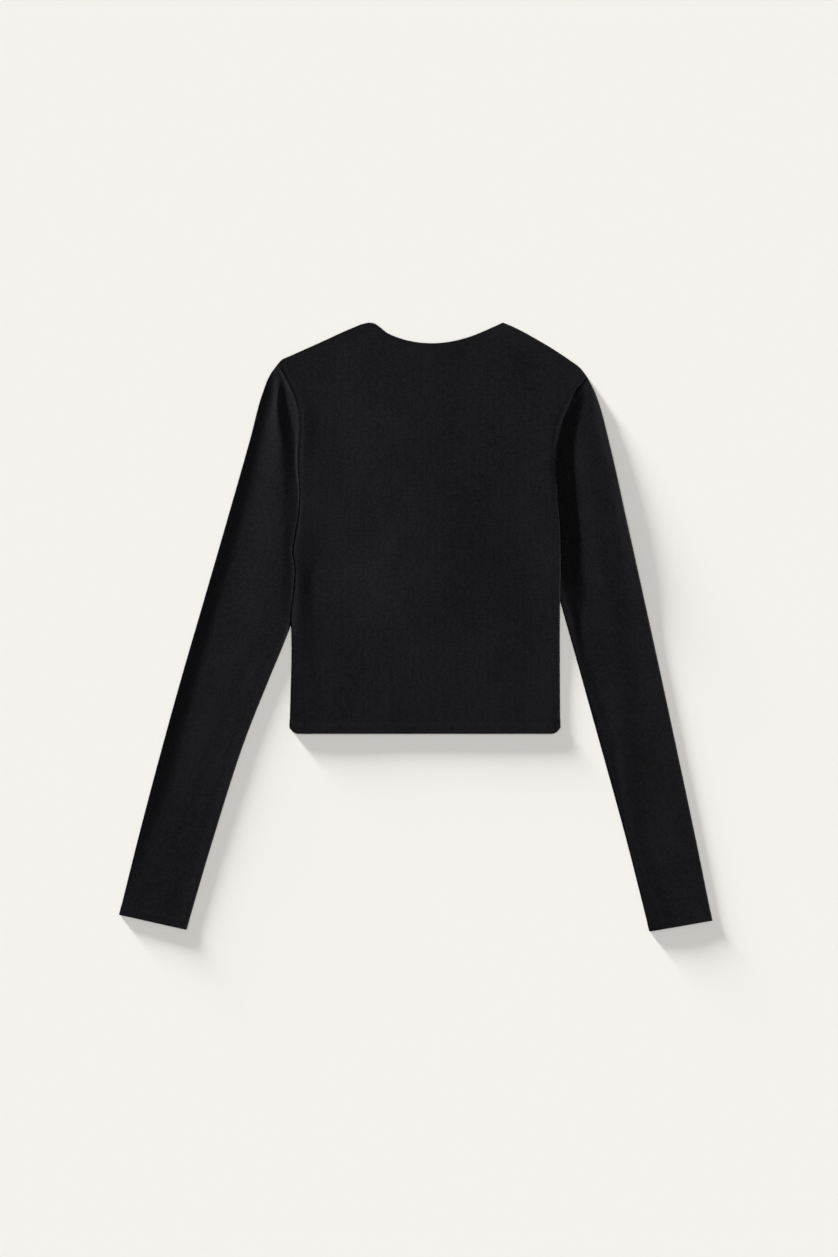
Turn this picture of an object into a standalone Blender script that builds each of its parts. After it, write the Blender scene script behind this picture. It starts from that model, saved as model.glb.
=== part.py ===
"""Long-sleeved crop top of black double knit, laid flat on a table with its back up.

Four sewn pieces: back, front, and two sleeves. Each is a wall of cloth of one thickness.
Frame: +Z up from the table, +Y from hem to neck, +X to the right as seen from above.
The origin is on the table, in the middle of the footprint.
The outlines below are in millimetres, from the middle of the hem.
"""
import math

import bpy
import numpy as np

# ---------------------------------------------------------------- driving sizes, millimetres
MM = 0.001
CLOTH = 1.1            # thickness of the knit
SHOULDER_CLEARANCE = 0.6   # how far down its outer fold a sleeve starts, to keep clear of the body
ROLL = 1.2             # radius of the cloth's middle layer where it turns over at a fold
FOLD_STOP = 0.4        # how far short of a side seam's middle each panel's turn stops
LAYER_STEP = 2.4       # from the middle of the under layer to the middle of the upper one
PRESSED_STEP = 1.4     # the same step where a sleeve lies under the body
BODY_LIFT = 3.0        # how far the body's edge rises to pass over a sleeve
LIFT_HOLD = 18.0       # width along that edge that stays fully raised
LIFT_SPREAD = 26.0     # further width over which the cloth comes back down
LIFT_RAMP = 60.0       # stretch at a sleeve's way out over which the edge comes back down
LIFT_MARGIN = 6.0      # how far below the way out that stretch begins
SLEEVE_CROWN = 1.5     # rise of a sleeve's upper layer above its folds, at the biceps
CUFF_CROWN = 0.3       # the same at the cuff
CROWN_SPREAD = 18.0    # width over which the rise comes up from a fold
CAP_BLEND = 30.0       # how far from the armhole seam the sleeve keeps the body's height
CUFF_HEIGHT = -215.0   # where the crown is least, measured from the hem
CROWN_HEIGHT = 90.0    # where it is full
SHOULDER_TURN = 20.0   # stretch of the outer fold over which its cloth turns square to it
TROUGH_START = 6.0     # a sleeve's soft folds begin this far from the armhole seam
TROUGH_ENDS = 0.08     # share of half a wave that a soft fold lacks at each of its ends
BODY_RISE = 21.0       # stretch below the underarm over which the body climbs on the sleeve
SLEEVE_SINK = 20.0     # the same over which the sleeve is pressed thin, just ahead of it
PRESS_RAMP = 30.0      # stretch below its way out over which a pressed sleeve springs up
EDGE_MARGIN = 3.0      # a pressed sleeve stays low this far outside the body's edge
ROLL_FADE = 25.0       # stretch above the underarm over which the side fold opens
HEM_CORNER = 10.0      # radius of the hem's two round corners
HEM_CORNER_REACH = 30.0    # how far up from the hem the rounding is still felt
HEM_CORNER_STOP = 0.96     # share of the radius at which the rounding stops, short of upright
BACK_NECK_LOW = 421.6
FRONT_NECK_DEPTH = 85.0
FRONT_NECK_POWER = 2.2
NECK_ROLL_FADE = 12.0  # the shoulder seam's turn opens over this length of the neckline
FULL_TURN_STEPS = 3    # facets in each quarter of a fold
SEAM_END = 0.95        # share of the armhole from which its direction at the shoulder is read
DIRECTION_STEP = 2.0   # length over which a fold's direction is read
COLUMN_STEP = 0.004    # the same for a panel's column, as a share

KNIT_COLOUR = (0.0105, 0.0104, 0.0122, 1.0)
KNIT_ROUGHNESS = 0.9

# Body sides from the hem up to the underarm.
SIDE_EDGES = [
    # height, left x, right x
    (0.0, -146.7, 145.6),
    (26.0, -146.2, 145.4),
    (110.0, -144.9, 145.0),
    (124.0, -145.6, 145.0),
    (155.0, -142.0, 145.3),
    (177.0, -140.7, 145.7),
    (197.0, -143.0, 145.6),
    (216.0, -140.2, 145.3),
    (235.0, -137.1, 144.0),
    (252.0, -135.8, 142.3),
    (267.0, -136.4, 141.0),
]

# Armhole seams from the underarm up to the shoulder point.
ARMHOLES = [
    # left x, left y, right x, right y
    (-136.4, 267.0, 141.0, 267.0),
    (-138.2, 296.0, 140.7, 290.0),
    (-136.9, 325.0, 142.6, 316.0),
    (-137.4, 346.0, 147.1, 338.5),
    (-141.0, 362.0, 153.6, 353.0),
    (-148.4, 378.5, 163.6, 370.0),
    (-160.0, 398.6, 175.0, 384.6),
]

# Shoulder seams, from the shoulder point in to the neck.
LEFT_SHOULDER = [(-160.0, 398.6), (-155.1, 403.9), (-145.7, 408.2), (-112.0, 423.4),
                 (-78.4, 438.5), (-68.6, 442.4), (-62.0, 444.0)]
RIGHT_SHOULDER = [(175.0, 384.6), (173.7, 386.6), (166.8, 395.3), (155.2, 403.9),
                  (121.0, 425.5), (92.2, 440.6), (83.7, 444.1)]

# Back neckline from the left neck point, which is round, to the right one, which is sharp.
BACK_NECK = [(-62.0, 444.0), (-55.6, 443.2), (-49.0, 438.8), (-42.0, 433.2), (-27.0, 426.8),
             (9.0, BACK_NECK_LOW), (46.0, 428.0), (68.0, 436.8), (83.7, 444.1)]

# The outer fold of each sleeve, from the shoulder point down to the cuff.
OUTER_FOLDS = {
    "left": [(-160.0, 398.6), (-168.4, 386.6), (-175.3, 369.4), (-189.5, 317.5), (-214.1, 231.1),
             (-239.1, 144.7), (-264.2, 58.3), (-280.4, 0.0), (-310.1, -112.3), (-330.7, -195.3)],
    "right": [(175.0, 384.6), (182.7, 369.4), (188.8, 352.1), (197.7, 317.5), (217.1, 231.1),
              (236.3, 144.7), (255.3, 58.3), (267.8, 0.0), (291.6, -112.3), (309.7, -201.6)],
}

# The inner fold, from the underarm down to the cuff. It runs beside the body's edge,
# passes under the body, and comes out again lower down.
INNER_FOLDS = {
    "left": [(-137.1, 266.0), (-137.1, 246.0), (-132.0, 222.0), (-129.0, 196.0), (-131.5, 166.0),
             (-138.5, 138.0), (-146.6, 114.0), (-169.2, 58.3), (-192.5, 0.0), (-228.9, -112.3),
             (-258.1, -211.5)],
    "right": [(141.9, 266.0), (143.7, 246.0), (140.5, 224.0), (136.8, 199.0), (138.4, 170.0),
              (145.2, 144.0), (158.4, 97.0), (169.2, 58.3), (185.4, 0.0), (216.3, -112.3),
              (241.9, -213.5)],
}
WAY_OUT = {"left": 119.0, "right": 144.0}      # height where each sleeve leaves the body

# How far each cross-section of a sleeve has come down its two folds, up to where
# the cross-sections have turned square to the arm.
CAP_SECTIONS = [
    # down the outer fold, down the inner fold
    (0.0, 0.0),
    (10.0, 3.0),
    (22.0, 6.0),
    (38.0, 10.0),
    (58.0, 15.0),
    (82.0, 22.0),
    (110.0, 31.0),
    (142.0, 44.0),
    (176.0, 61.0),
]
ARM_SECTIONS = 15      # even steps from there to the cuff

# The largest folds of the upper layers: soft troughs from start through bend to end.
TROUGHS = [
    # piece, start, bend, end, half width, depth
    ("back", (-131.0, 196.0), (-128.5, 165.0), (-130.0, 128.0), 8.0, 0.9),
    ("back", (-131.0, 372.0), (-128.5, 330.0), (-130.0, 275.0), 8.0, 0.5),
    ("sleeve_left", (-158.0, 385.0), (-150.5, 335.0), (-141.5, 245.0), 7.0, 0.9),
    ("sleeve_right", (204.0, 115.0), (219.5, 10.0), (227.5, -112.0), 9.0, 0.8),
]

# Where the panels' and sleeves' lengthwise and crosswise lines run.
PANEL_COLUMNS = (0.0, 0.014, 0.035, 0.062, 0.1, 0.155, 0.225, 0.293, 0.36, 0.435, 0.51, 0.585,
                 0.66, 0.733, 0.8, 0.86, 0.905, 0.94, 0.966, 0.986, 1.0)
NECK_LEFT_COLUMN = 7
NECK_RIGHT_COLUMN = 13
SIDE_ROWS = (0.0, 0.1, 0.22, 0.34, 0.44, 0.54, 0.66, 0.78, 0.88, 0.94)
ARMHOLE_ROWS = (0.0, 0.05, 0.16, 0.32, 0.48, 0.64, 0.79, 0.91)
UNDERARM_ROW = 0.62    # share of a panel's height that lies below the underarm


# ---------------------------------------------------------------- lines and blends
def smooth_line(points, steps_per_span=12):
    """A smooth curve through the points, as a fine polyline."""
    points = np.array(points, float)
    at = np.concatenate([[0.0], np.cumsum(np.linalg.norm(np.diff(points, axis=0), axis=1))])
    slopes = np.gradient(points, at, axis=0)
    line = []
    for i in range(len(points) - 1):
        span = at[i + 1] - at[i]
        for t in np.arange(steps_per_span) / steps_per_span:
            line.append((2 * t**3 - 3 * t**2 + 1) * points[i] + (t**3 - 2 * t**2 + t) * span * slopes[i]
                        + (3 * t**2 - 2 * t**3) * points[i + 1] + (t**3 - t**2) * span * slopes[i + 1])
    line.append(points[-1])
    return np.array(line)


def walk(line):
    """Distance covered at each point of a polyline."""
    return np.concatenate([[0.0], np.cumsum(np.linalg.norm(np.diff(line, axis=0), axis=1))])


def place(line, distance):
    """The point at a distance along a polyline."""
    covered = walk(line)
    return np.array([np.interp(distance, covered, line[:, axis]) for axis in (0, 1)])


def place_share(line, share):
    return place(line, share * walk(line)[-1])


def ease(t):
    """0 below 0, 1 above 1, and smooth between."""
    t = np.clip(t, 0.0, 1.0)
    return t * t * (3 - 2 * t)


def distance_to(line, point):
    """Shortest distance from a point to a polyline."""
    start = line[:-1]
    run = line[1:] - start
    share = np.clip(((point - start) * run).sum(1) / (run * run).sum(1), 0.0, 1.0)
    return np.linalg.norm(start + run * share[:, None] - point, axis=1).min()


# ---------------------------------------------------------------- outlines
SIDES = {
    "left": smooth_line([(left, height) for height, left, right in SIDE_EDGES]),
    "right": smooth_line([(right, height) for height, left, right in SIDE_EDGES]),
}
SEAMS = {
    "left": smooth_line([(left_x, left_y) for left_x, left_y, right_x, right_y in ARMHOLES]),
    "right": smooth_line([(right_x, right_y) for left_x, left_y, right_x, right_y in ARMHOLES]),
}
OUTWARD = {"left": -1.0, "right": 1.0}
UNDERARM = SIDE_EDGES[-1][0]


def inside_edge(side, x, y):
    """How far a point lies inside the body's side edge; it is negative outside."""
    edge = np.interp(y, SIDES[side][:, 1], SIDES[side][:, 0])
    return OUTWARD[side] * (edge - x)


def over_sleeve(side, y):
    """1 where the body's edge passes over the sleeve, and 0 where it lies on the table."""
    rising = ease((UNDERARM - y) / BODY_RISE)
    falling = ease((y - WAY_OUT[side] + LIFT_MARGIN + LIFT_RAMP) / LIFT_RAMP)
    return rising * falling


def body_lift(x, y):
    """Height that the sleeves below add to both body panels."""
    lift = 0.0
    for side in ("left", "right"):
        spread = 1.0 - ease((inside_edge(side, x, y) - LIFT_HOLD) / LIFT_SPREAD)
        lift = max(lift, BODY_LIFT * over_sleeve(side, y) * spread)
    return lift


def trough_depth(piece, point):
    """Depth of the soft folds at a point of an upper layer."""
    depth = 0.0
    for name, start, bend, end, half_width, deepest in TROUGHS:
        if name != piece:
            continue
        line = smooth_line([start, bend, end])
        near = int(np.linalg.norm(line - point, axis=1).argmin())
        share = walk(line)[near] / walk(line)[-1]
        across = distance_to(line, point) / half_width
        wave = TROUGH_ENDS + (1 - 2 * TROUGH_ENDS) * share
        depth += deepest * math.exp(-across * across) * math.sin(math.pi * wave)
    return depth


# ---------------------------------------------------------------- the loft and its cloth
def cloth_piece(name, rows, closed, collection):
    """A wall of cloth through rows of points, each row with the same count.

    rows are in millimetres; closed joins each row's last point to its first.
    """
    count = len(rows[0])
    points = [tuple(MM * value for value in point) for row in rows for point in row]
    columns = range(count if closed else count - 1)
    faces = []
    for r in range(len(rows) - 1):
        for c in columns:
            after = (c + 1) % count
            faces.append((r * count + c, r * count + after,
                          (r + 1) * count + after, (r + 1) * count + c))
    mesh = bpy.data.meshes.new(name)
    mesh.from_pydata(points, [], faces)
    mesh.shade_smooth()
    piece = bpy.data.objects.new(name, mesh)
    collection.objects.link(piece)
    wall = piece.modifiers.new("cloth thickness", "SOLIDIFY")
    wall.thickness = CLOTH * MM
    wall.offset = 0.0
    wall.use_quality_normals = True
    piece.data.materials.append(knit_material(name))
    return piece


def knit_material(name):
    material = bpy.data.materials.new(name + " knit")
    material.use_nodes = True
    shader = material.node_tree.nodes["Principled BSDF"]
    shader.inputs["Base Color"].default_value = KNIT_COLOUR
    shader.inputs["Roughness"].default_value = KNIT_ROUGHNESS
    shader.inputs["Metallic"].default_value = 0.0
    return material


# ---------------------------------------------------------------- folds
EDGE_INSET = CLOTH / 2 + ROLL          # from a fold's outer surface in to the flat cloth
TURN = [math.pi / 2 * (1 - i / FULL_TURN_STEPS) for i in range(FULL_TURN_STEPS)]


def strip_inset(angle, fold):
    """How far in from the edge a fold's facet lies; fold is 1 for a full turn and 0 for a flat edge."""
    turned = CLOTH / 2 + ROLL * (1 - math.sin(angle))
    flat = EDGE_INSET * (1 - angle / (math.pi / 2))
    return fold * turned + (1 - fold) * flat


def strip_drop(angle, fold):
    """How far a fold's facet has turned away from the flat cloth."""
    return fold * (ROLL - FOLD_STOP) * (1 - math.cos(angle))


# ---------------------------------------------------------------- body panels
class PanelPlan:
    """A body panel seen from above: its four edges and the smooth patch between them."""

    def __init__(self, neck):
        self.neck = neck
        self.left_shoulder = smooth_line(LEFT_SHOULDER)
        self.right_shoulder = smooth_line(RIGHT_SHOULDER)
        self.neck_start = PANEL_COLUMNS[NECK_LEFT_COLUMN]
        self.neck_end = PANEL_COLUMNS[NECK_RIGHT_COLUMN]

    def side(self, which, v):
        if v <= UNDERARM_ROW:
            return place_share(SIDES[which], v / UNDERARM_ROW)
        return place_share(SEAMS[which], (v - UNDERARM_ROW) / (1 - UNDERARM_ROW))

    def top(self, u):
        if u <= self.neck_start:
            return place_share(self.left_shoulder, u / self.neck_start)
        if u >= self.neck_end:
            return place_share(self.right_shoulder, (1 - u) / (1 - self.neck_end))
        return place_share(self.neck, (u - self.neck_start) / (self.neck_end - self.neck_start))

    def at(self, u, v):
        hem = (1 - u) * self.side("left", 0.0) + u * self.side("right", 0.0)
        sides = (1 - u) * self.side("left", v) + u * self.side("right", v)
        corners = (1 - v) * hem + v * ((1 - u) * self.top(0.0) + u * self.top(1.0))
        return (1 - v) * hem + v * self.top(u) + sides - corners

    def width(self, v):
        return np.linalg.norm(self.at(1.0, v) - self.at(0.0, v))

    def height(self, u):
        """Ground that a column covers square to the top edge, for a whole unit of v."""
        step = COLUMN_STEP
        run = self.at(u, 1.0) - self.at(u, 1.0 - step)
        along = self.top(min(u + step, 1.0)) - self.top(max(u - step, 0.0))
        along /= np.linalg.norm(along)
        return abs(run[0] * along[1] - run[1] * along[0]) / step

    def shoulder_fold(self, u):
        """1 along the shoulder seams, fading to 0 along the neckline."""
        past_neck_point = min(u - self.neck_start, self.neck_end - u) * self.width(1.0)
        return 1.0 - ease(past_neck_point / NECK_ROLL_FADE)


def round_hem_corner(x, y):
    """Lift the hem into its two round corners, less and less further up."""
    inside = min(inside_edge("left", x, 0.0), inside_edge("right", x, 0.0))
    past = min(max(HEM_CORNER - inside, 0.0), HEM_CORNER_STOP * HEM_CORNER)
    rise = HEM_CORNER - math.sqrt(HEM_CORNER**2 - past**2)
    return y + rise * (1 - ease(y / HEM_CORNER_REACH))


def panel_rows(piece, plan, flat_height, turn):
    """Rows of a body panel. turn is -1 where its folds turn down and +1 where they turn up."""
    columns = [("left", angle) for angle in TURN]
    columns += [("across", share) for share in PANEL_COLUMNS]
    columns += [("right", angle) for angle in TURN[::-1]]
    row_places = [("up", UNDERARM_ROW * share) for share in SIDE_ROWS]
    row_places += [("up", UNDERARM_ROW + (1 - UNDERARM_ROW) * share) for share in ARMHOLE_ROWS]
    row_places += [("top", 0.0)] + [("top", angle) for angle in TURN[::-1]]
    rows = []
    for row_kind, row_value in row_places:
        side_v = row_value if row_kind == "up" else 1.0
        side_fold = 1.0 - ease((plan.side("left", side_v)[1] - UNDERARM) / ROLL_FADE)
        width = plan.width(side_v)
        row = []
        for column_kind, column_value in columns:
            drop = 0.0
            if column_kind == "across":
                inset = EDGE_INSET / width
                u = inset + column_value * (1 - 2 * inset)
                if column_value in (plan.neck_start, plan.neck_end):
                    u = column_value
            else:
                inset = strip_inset(column_value, side_fold) / width
                u = inset if column_kind == "left" else 1 - inset
                drop = strip_drop(column_value, side_fold)
            v = row_value
            if row_kind == "top":
                fold = plan.shoulder_fold(u)
                v = 1 - strip_inset(row_value, fold) / plan.height(u)
                drop = max(drop, strip_drop(row_value, fold))
            x, y = plan.at(u, v)
            y = round_hem_corner(x, y)
            z = flat_height + body_lift(x, y) + turn * drop - trough_depth(piece, np.array([x, y]))
            row.append((x, y, z))
        rows.append(row)
    return rows


# ---------------------------------------------------------------- sleeves
def into_sleeve(line, distance, side, fold):
    """Direction from a fold into the sleeve: square to the fold, or along the seam at the shoulder."""
    run = place(line, distance + DIRECTION_STEP) - place(line, max(distance - DIRECTION_STEP, 0.0))
    run /= np.linalg.norm(run)
    square = np.array([-run[1], run[0]]) * OUTWARD[side]
    if fold == "inner":
        return square
    seam = place_share(SEAMS[side], SEAM_END) - SEAMS[side][-1]
    seam /= np.linalg.norm(seam)
    blend = ease(distance / SHOULDER_TURN)
    inward = blend * -square + (1 - blend) * seam
    return inward / np.linalg.norm(inward)


def section_places(outer_line, inner_line):
    """Distances of each cross-section down the outer and the inner fold."""
    last_outer, last_inner = CAP_SECTIONS[-1]
    outer_left = walk(outer_line)[-1] - last_outer
    inner_left = walk(inner_line)[-1] - last_inner
    shares = [step / ARM_SECTIONS for step in range(1, ARM_SECTIONS + 1)]
    return CAP_SECTIONS + [(last_outer + share * outer_left, last_inner + share * inner_left)
                           for share in shares]


def pressed(side, y):
    """1 where the sleeve lies under the body, and 0 where it is free."""
    below_underarm = ease((UNDERARM - y) / SLEEVE_SINK)
    above_way_out = ease((y - WAY_OUT[side] + PRESS_RAMP) / PRESS_RAMP)
    return below_underarm * above_way_out


def upper_height(side, point, outer_far, inner_far):
    """Height of a sleeve's upper layer at a point, so far in from its outer and inner folds."""
    seam_far = distance_to(SEAMS[side], point)
    under = pressed(side, point[1])
    outer_base = CLOTH / 2 + LAYER_STEP
    inner_base = outer_base + under * (PRESSED_STEP - LAYER_STEP)
    fullness = ease((point[1] - CUFF_HEIGHT) / (CROWN_HEIGHT - CUFF_HEIGHT))
    crown = (CUFF_CROWN + fullness * (SLEEVE_CROWN - CUFF_CROWN)) * ease(seam_far / CAP_BLEND)
    if point[1] < UNDERARM:
        outside = -inside_edge(side, point[0], point[1]) - EDGE_MARGIN
        inner_far = (1 - under) * inner_far + under * min(inner_far, max(outside, 0.0))
    outer_fall = 1 - math.sin(math.pi / 2 * np.clip(outer_far / CROWN_SPREAD, 0.0, 1.0))
    inner_fall = 1 - math.sin(math.pi / 2 * np.clip(inner_far / CROWN_SPREAD, 0.0, 1.0))
    top = outer_base + crown
    height = top - crown * outer_fall - (top - inner_base) * inner_fall
    trough = trough_depth("sleeve_" + side, point) * ease(seam_far / TROUGH_START)
    return max(height - trough, inner_base)


def section_point(side, outer_point, inner_point, share, bow):
    """A point across a sleeve: on a straight line, plus the armhole's own curve where bow is 1."""
    seam = SEAMS[side][::-1]
    chord, seam_chord = inner_point - outer_point, seam[-1] - seam[0]
    offset = place_share(seam, share) - (seam[0] + share * seam_chord)
    turn = math.atan2(chord[1], chord[0]) - math.atan2(seam_chord[1], seam_chord[0])
    cosine, sine = math.cos(turn), math.sin(turn)
    turned = np.array([cosine * offset[0] - sine * offset[1], sine * offset[0] + cosine * offset[1]])
    return outer_point + share * chord + bow * turned


def fold_facets(tip, inward, roll, direction):
    """Facets round a sleeve's fold: direction is 1 from the upper layer down and -1 going up."""
    facets = []
    for step in range(1, 2 * FULL_TURN_STEPS):
        angle = math.pi / 2 * (1 - step / FULL_TURN_STEPS) * direction
        x, y = tip + inward * (CLOTH / 2 + roll * (1 - math.cos(angle)))
        facets.append((x, y, CLOTH / 2 + roll + roll * math.sin(angle)))
    return facets


def sleeve_rows(side):
    """Closed rows round a sleeve: upper layer, inner fold, lower layer, outer fold."""
    outer_line = smooth_line(OUTER_FOLDS[side])
    inner_line = smooth_line(INNER_FOLDS[side])
    rows = []
    for index, (outer_at, inner_at) in enumerate(section_places(outer_line, inner_line)):
        bow = 1.0 - ease(index / (len(CAP_SECTIONS) - 1))
        outer_at += SHOULDER_CLEARANCE * bow
        outer_point, inner_point = place(outer_line, outer_at), place(inner_line, inner_at)
        outer_in = into_sleeve(outer_line, outer_at, side, "outer")
        inner_in = into_sleeve(inner_line, inner_at, side, "inner")
        inner_roll = ROLL + pressed(side, inner_point[1]) * (PRESSED_STEP / 2 - ROLL)
        across = np.linalg.norm(outer_point - inner_point)
        points = [outer_point + outer_in * EDGE_INSET]
        points += [section_point(side, outer_point, inner_point, 1 - share, bow)
                   for share in ARMHOLE_ROWS[:0:-1]]
        points.append(inner_point + inner_in * EDGE_INSET)
        upper, lower = [], []
        for point in points:
            share = np.linalg.norm(point - outer_point) / across
            height = upper_height(side, point, share * across - EDGE_INSET,
                                  (1 - share) * across - EDGE_INSET)
            upper.append((point[0], point[1], height))
            lower.append((point[0], point[1], CLOTH / 2))
        rows.append(upper + fold_facets(inner_point, inner_in, inner_roll, 1)
                    + lower[::-1] + fold_facets(outer_point, outer_in, ROLL, -1))
    return rows


# ---------------------------------------------------------------- the garment
def front_neckline():
    """A plain scoop between the neck points, below the back neckline and hidden by it."""
    start, end = np.array(BACK_NECK[0]), np.array(BACK_NECK[-1])
    line = []
    for share in np.linspace(0.0, 1.0, 61):
        dip = 1 - abs(2 * share - 1) ** FRONT_NECK_POWER
        line.append(start + share * (end - start) - np.array([0.0, FRONT_NECK_DEPTH * dip]))
    return np.array(line)


def footprint_middle(all_rows):
    points = np.array([point for rows in all_rows for row in rows for point in row])
    low, high = points.min(axis=0), points.max(axis=0)
    return (low[0] + high[0]) / 2, (low[1] + high[1]) / 2


def main():
    for old in list(bpy.data.objects):
        bpy.data.objects.remove(old, do_unlink=True)
    collection = bpy.data.collections.new("crop_top")
    bpy.context.scene.collection.children.link(collection)
    low = CLOTH / 2
    pieces = {
        "back": (panel_rows("back", PanelPlan(smooth_line(BACK_NECK)), low + LAYER_STEP, -1), False),
        "front": (panel_rows("front", PanelPlan(front_neckline()), low, 1), False),
        "sleeve_left": (sleeve_rows("left"), True),
        "sleeve_right": (sleeve_rows("right"), True),
    }
    middle_x, middle_y = footprint_middle([rows for rows, closed in pieces.values()])
    for name, (rows, closed) in pieces.items():
        moved = [[(x - middle_x, y - middle_y, z) for x, y, z in row] for row in rows]
        cloth_piece(name, moved, closed, collection)


main()
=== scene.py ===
# %% [markdown]
# # A long-sleeved crop top, laid flat with its back up
#
# The real object is sewn from four pieces of black double knit: a back, a front and two sleeves.
# It lies on a pale table, so each piece is a thin wall of cloth that rests on the one below it.
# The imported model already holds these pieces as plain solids. This lesson makes the cloth that
# is seen: the same walls, but fine, with seams, turned edges, soft folds and a knitted surface.

# %% Load the frame
import math

import bpy
import numpy as np
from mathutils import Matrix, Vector


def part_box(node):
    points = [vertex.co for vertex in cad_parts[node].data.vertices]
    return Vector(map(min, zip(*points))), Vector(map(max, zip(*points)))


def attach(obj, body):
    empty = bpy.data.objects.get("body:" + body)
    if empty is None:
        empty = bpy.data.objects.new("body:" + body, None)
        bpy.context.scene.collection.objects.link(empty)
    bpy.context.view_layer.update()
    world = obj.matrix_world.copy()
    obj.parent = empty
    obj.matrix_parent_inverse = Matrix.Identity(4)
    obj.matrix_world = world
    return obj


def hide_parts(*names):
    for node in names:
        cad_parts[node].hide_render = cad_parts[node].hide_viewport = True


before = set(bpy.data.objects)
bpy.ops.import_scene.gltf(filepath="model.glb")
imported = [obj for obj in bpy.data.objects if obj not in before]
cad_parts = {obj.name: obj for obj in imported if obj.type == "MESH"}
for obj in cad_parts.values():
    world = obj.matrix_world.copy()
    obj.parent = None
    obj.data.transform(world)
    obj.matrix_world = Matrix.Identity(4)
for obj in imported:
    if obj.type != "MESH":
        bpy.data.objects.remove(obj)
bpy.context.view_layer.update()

# %% [markdown]
# ## Sizes
#
# A pattern cutter works from a few lines: the side edges, the armholes, the shoulders, the neck
# and the folds of the sleeves. They are drawn here in millimetres from the middle of the hem.
# Long lists of points would hide the design, so each line has only the points that shape it,
# and a smooth curve runs through them.

# %% Cloth, folds and layers
MM = 0.001
CLOTH = 1.1                # thickness of the knit
TURNED = 1.55              # thickness where a hem is turned in and pressed
ROLL = 0.8                 # radius of the cloth's middle layer where it turns over at a fold
FOLD_STOP = 0.15           # how far short of a side seam's middle each panel's turn stops
PRESSED = CLOTH / 2 + 1.4  # middle of a sleeve's upper layer where it lies under the body
SHOULDER_TURN = 20.0       # stretch of an outer fold over which its cloth turns square to it
HEM_CORNER = 10.0          # radius of the hem's two round corners
HEM_CORNER_REACH = 30.0    # how far up from the hem that rounding is still felt
HEM_CORNER_STOP = 0.96     # share of the radius at which it stops, short of upright
HEM_TURN = 11.5            # how far up the hem's turned edge reaches
CUFF_TURN = 10.0           # the same at a cuff
TURN_BLEND = 1.5           # width over which the cloth gets thicker there
SIDE_FOLD_FADE = 25.0      # stretch above the underarm over which the side fold opens
NECK_ROLL_FADE = 12.0      # the shoulder seam's turn opens over this length of the neckline
FRONT_NECK_DEPTH = 85.0
FRONT_NECK_POWER = 2.2
TURN_STEPS = 7             # facets in each quarter of a fold
EDGE_INSET = CLOTH / 2 + ROLL
TURN = np.pi / 2 * (1 - np.arange(TURN_STEPS) / TURN_STEPS)
OUTWARD = {"left": -1.0, "right": 1.0}

# %% Outlines
SIDE_EDGES = [
    # height, left x, right x
    (0.0, -146.7, 145.6),
    (26.0, -146.2, 145.4),
    (110.0, -144.9, 145.0),
    (124.0, -145.6, 145.0),
    (155.0, -142.0, 145.3),
    (177.0, -140.7, 145.7),
    (197.0, -143.0, 145.6),
    (216.0, -140.2, 145.3),
    (235.0, -137.1, 144.0),
    (252.0, -135.8, 142.3),
    (267.0, -136.4, 141.0),
]
ARMHOLES = [
    # left x, left y, right x, right y
    (-136.4, 267.0, 141.0, 267.0),
    (-138.2, 296.0, 140.7, 290.0),
    (-136.9, 325.0, 142.6, 316.0),
    (-137.4, 346.0, 147.1, 338.5),
    (-141.0, 362.0, 153.6, 353.0),
    (-148.4, 378.5, 163.6, 370.0),
    (-160.0, 398.6, 175.0, 384.6),
]
LEFT_SHOULDER = [(-160.0, 398.6), (-155.1, 403.9), (-145.7, 408.2), (-112.0, 423.4),
                 (-78.4, 438.5), (-68.6, 442.4), (-62.0, 444.0)]
RIGHT_SHOULDER = [(175.0, 384.6), (173.7, 386.6), (166.8, 395.3), (155.2, 403.9),
                  (121.0, 425.5), (92.2, 440.6), (83.7, 444.1)]
BACK_NECK = [(-62.0, 444.0), (-55.6, 443.2), (-49.0, 438.8), (-42.0, 433.2), (-27.0, 426.8),
             (9.0, 421.6), (46.0, 428.0), (68.0, 436.8), (83.7, 444.1)]
OUTER_FOLDS = {
    "left": [(-160.0, 398.6), (-168.4, 386.6), (-175.3, 369.4), (-189.5, 317.5), (-214.1, 231.1),
             (-239.1, 144.7), (-264.2, 58.3), (-280.4, 0.0), (-310.1, -112.3), (-330.7, -195.3)],
    "right": [(175.0, 384.6), (182.7, 369.4), (188.8, 352.1), (197.7, 317.5), (217.1, 231.1),
              (236.3, 144.7), (255.3, 58.3), (267.8, 0.0), (291.6, -112.3), (309.7, -201.6)],
}
INNER_FOLDS = {
    "left": [(-136.0, 265.6), (-134.0, 250.0), (-131.0, 226.0), (-129.0, 196.0), (-131.5, 166.0),
             (-138.5, 138.0), (-146.6, 114.0), (-169.2, 58.3), (-192.5, 0.0), (-228.9, -112.3),
             (-258.1, -211.5)],
    "right": [(140.6, 265.6), (140.2, 250.0), (138.8, 226.0), (136.8, 199.0), (138.4, 170.0),
              (145.2, 144.0), (158.4, 97.0), (169.2, 58.3), (185.4, 0.0), (216.3, -112.3),
              (241.9, -213.5)],
}
UNDERARM = SIDE_EDGES[-1][0]
CAP_SECTIONS = [
    # down the outer fold, down the inner fold
    (0.0, 0.0),
    (10.0, 3.0),
    (22.0, 6.0),
    (38.0, 10.0),
    (58.0, 15.0),
    (82.0, 22.0),
    (110.0, 31.0),
    (142.0, 44.0),
    (176.0, 61.0),
]

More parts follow.
